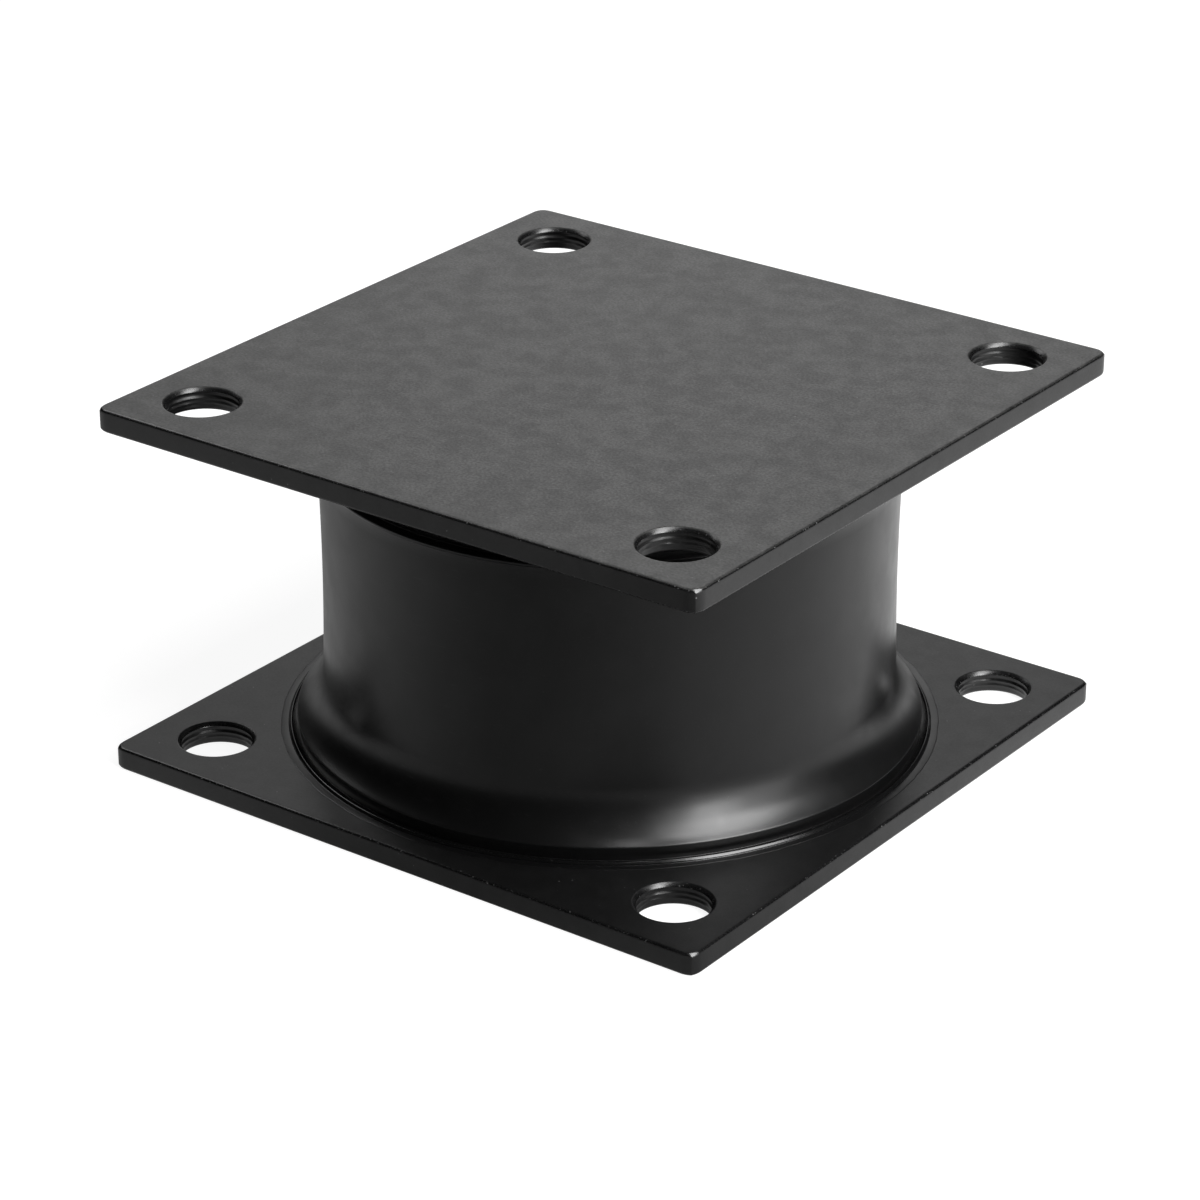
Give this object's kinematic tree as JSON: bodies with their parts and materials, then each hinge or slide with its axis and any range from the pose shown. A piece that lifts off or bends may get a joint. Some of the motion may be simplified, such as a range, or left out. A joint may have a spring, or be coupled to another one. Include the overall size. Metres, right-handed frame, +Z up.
{
  "type": "rubber anti-vibration mount",
  "caption": "Square-plate anti-vibration mount: a thick flared rubber column bonded between two flat steel plates with plain bolt holes in their corners.",
  "frame": {"origin": "middle of the lower plate's underside, which the mount stands on", "axes": "+Z up along the rubber column's axis, +X and +Y along the plates' sides"},
  "size_m": [0.15, 0.15, 0.082],
  "materials": {
    "plate_paint": "satin black paint",
    "rubber": "smooth moulded black rubber"
  },
  "bodies": {
    "root": {"lower_plate": "plate_paint", "rubber_column": "rubber", "upper_plate": "plate_paint"}
  },
  "joints": []
}
